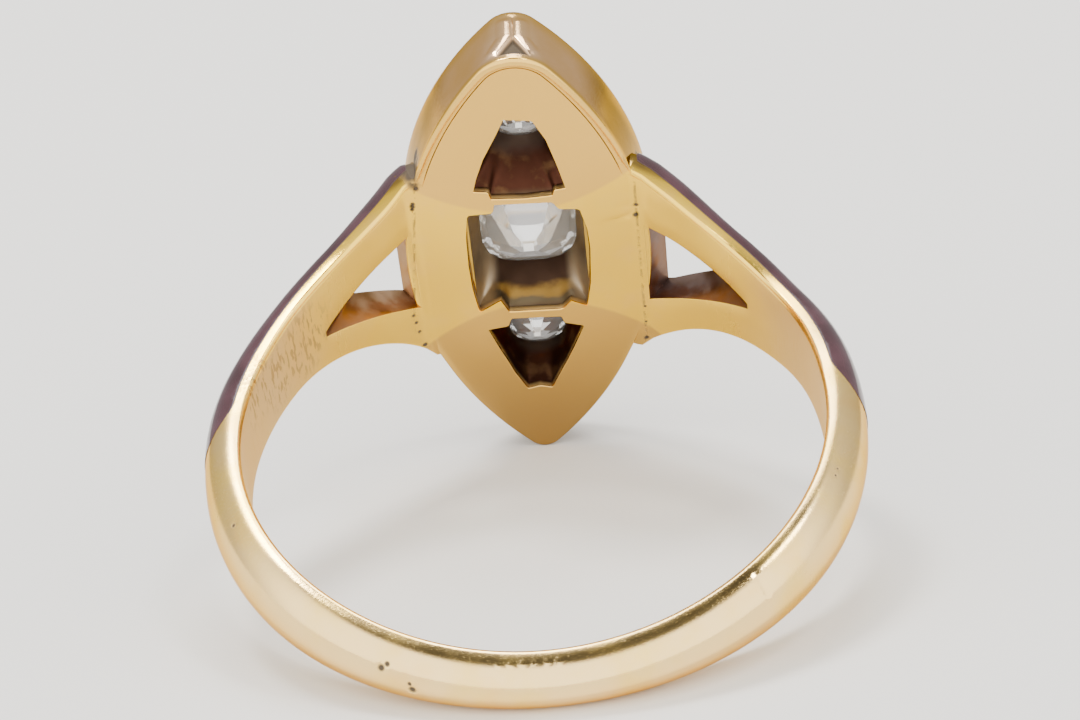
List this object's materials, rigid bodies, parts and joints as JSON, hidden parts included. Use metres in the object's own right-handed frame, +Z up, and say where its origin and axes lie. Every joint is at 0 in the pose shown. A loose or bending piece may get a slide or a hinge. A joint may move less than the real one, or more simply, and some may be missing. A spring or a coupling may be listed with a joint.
{
  "type": "mourning ring",
  "caption": "Gold finger ring with a pointed-oval head, split shoulders inlaid with plum enamel, and old-cut stones set through a pierced back plate",
  "frame": {"origin": "on the surface the ring lies on, under the middle of its bounding box", "axes": "the ring lies on its side: +Y from the palm side of the band to the head, +X across the finger hole, +Z up; the finger's axis leans from +Z towards -Y by the tilt at which the ring rests"},
  "size_m": [0.0194, 0.022, 0.0157],
  "materials": {
    "gold": "worn polish",
    "plum_enamel": "gloss",
    "diamond": "polished"
  },
  "bodies": {
    "root": {"gold_mount": "gold", "enamel_left": "plum_enamel", "enamel_right": "plum_enamel", "enamel_plaque": "plum_enamel", "diamond_centre": "diamond", "diamond_upper": "diamond", "diamond_lower": "diamond"}
  },
  "joints": []
}
